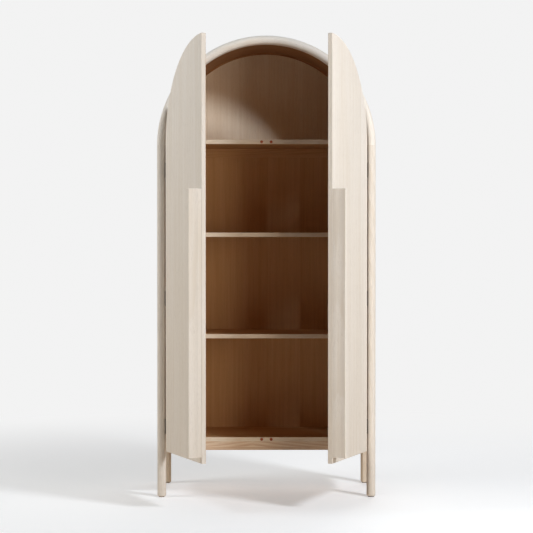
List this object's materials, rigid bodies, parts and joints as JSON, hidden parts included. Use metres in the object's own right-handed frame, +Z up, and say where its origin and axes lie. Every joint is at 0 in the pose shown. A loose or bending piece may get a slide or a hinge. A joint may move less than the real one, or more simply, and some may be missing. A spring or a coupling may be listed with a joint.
{
  "type": "arched cabinet",
  "caption": "Tall free-standing wooden cabinet with a round arched top, plain doors with long fin pulls, open legs and inner shelves.",
  "frame": {"origin": "on the floor, on the centre line, at the middle of the depth that the cabinet covers with its doors open as in the picture", "axes": "+X to the viewer's right, +Y from the doors to the back, +Z up"},
  "size_m": [0.965, 0.8812, 2.0369],
  "materials": {
    "case_wood": "bleached, open grain, matt lacquer",
    "panel_wood": "bleached veneer, matt lacquer",
    "apron_wood": "bleached, flat sawn grain, matt lacquer",
    "shelf_wood": "bleached veneer, matt lacquer",
    "door_wood": "bleached, fine upright grain, matt lacquer",
    "handle_wood": "bleached, fine upright grain, matt lacquer",
    "hinge_bronze": "dark bronze, satin",
    "strike_steel": "brushed",
    "catch_plastic": "matt brown",
    "glide_felt": "dark felt"
  },
  "bodies": {
    "case": {"front_leg_left": "case_wood", "front_leg_right": "case_wood", "rear_leg_left": "case_wood", "rear_leg_right": "case_wood", "front_arch": "case_wood", "rear_arch": "case_wood", "front_apron": "apron_wood", "rear_apron": "apron_wood", "rear_middle_rail": "apron_wood", "back_panel_upper": "panel_wood", "back_panel_lower": "panel_wood", "frame_tenons": "case_wood", "rail_tenons": "case_wood", "foot_glides": "glide_felt", "side_panel_left": "case_wood", "side_panel_right": "case_wood", "top_panel": "case_wood", "bottom_panel": "shelf_wood", "fixed_shelf": "shelf_wood", "upper_shelf": "shelf_wood", "lower_shelf": "shelf_wood", "upper_shelf_cleats": "shelf_wood", "lower_shelf_cleats": "shelf_wood", "magnetic_catches": "catch_plastic", "left_case_leaves": "hinge_bronze", "left_hinge_pins": "hinge_bronze", "right_case_leaves": "hinge_bronze", "right_hinge_pins": "hinge_bronze"},
    "left_door": {"left_door_panel": "door_wood", "left_handle": "handle_wood", "left_strike_plates": "strike_steel", "left_door_leaves": "hinge_bronze"},
    "right_door": {"right_door_panel": "door_wood", "right_handle": "handle_wood", "right_strike_plates": "strike_steel", "right_door_leaves": "hinge_bronze"}
  },
  "joints": [
    {"name": "left_door_hinge", "type": "hinge", "parent": "case", "child": "left_door", "pos_m": [-0.443, -0.01137, 0.88], "axis": [0, 0, -1], "range_deg": [-67, 63]},
    {"name": "right_door_hinge", "type": "hinge", "parent": "case", "child": "right_door", "pos_m": [0.443, -0.01137, 0.88], "axis": [0, 0, 1], "range_deg": [-67, 63]}
  ]
}
